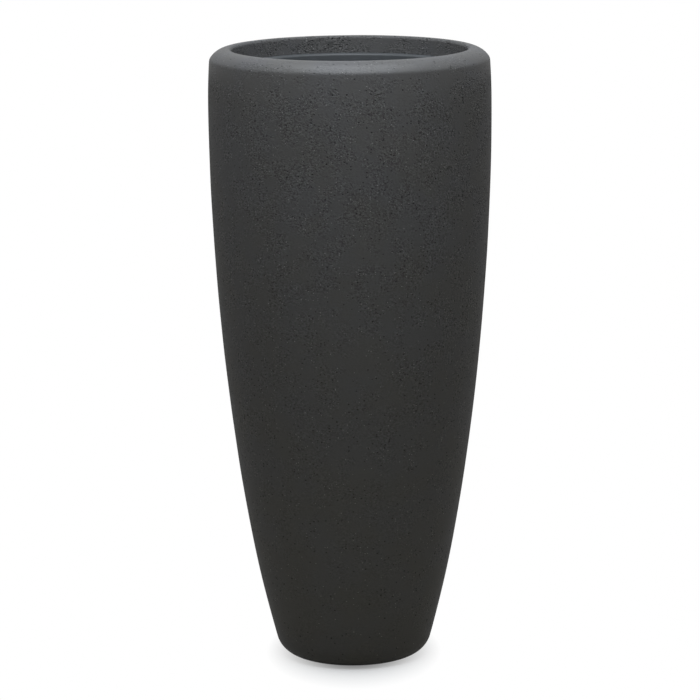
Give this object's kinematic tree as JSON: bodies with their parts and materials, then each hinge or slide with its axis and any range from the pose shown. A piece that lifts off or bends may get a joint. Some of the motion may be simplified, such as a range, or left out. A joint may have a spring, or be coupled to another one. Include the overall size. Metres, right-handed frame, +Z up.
{
  "type": "tall planter",
  "caption": "Tall round laminated planter: tapering vase-shaped wall, rounded turned-in rim, lift-out planting liner hanging inside the mouth, rubber-plugged drains.",
  "frame": {"origin": "centre of the base, on the floor", "axes": "+Z up along the planter's axis; +X to the right and +Y to the back, as the picture's camera sees it"},
  "size_m": [0.3648, 0.3648, 0.8],
  "materials": {
    "stone_laminate": "matte charcoal stone-like coat, finely pitted, on glass-fibre laminate",
    "bare_laminate": "dark resin laminate, satin",
    "liner_plastic": "smooth moulded dark grey plastic, satin",
    "plug_rubber": "matte black rubber"
  },
  "bodies": {
    "shell": {"outer_shell": "stone_laminate", "liner_seat_ring": "bare_laminate"},
    "liner": {"planting_liner": "liner_plastic"},
    "shell_plug": {"shell_drain_plug": "plug_rubber"},
    "liner_plug": {"liner_drain_plug": "plug_rubber"}
  },
  "joints": [
    {"name": "liner_lift", "type": "slide", "parent": "shell", "child": "liner", "axis": [0, 0, 1], "range_m": [0, 0.33]},
    {"name": "shell_plug_pull", "type": "slide", "parent": "shell", "child": "shell_plug", "axis": [0, 0, -1], "range_m": [0, 0.03]},
    {"name": "liner_plug_pull", "type": "slide", "parent": "liner", "child": "liner_plug", "axis": [0, 0, 1], "range_m": [0, 0.04]}
  ]
}
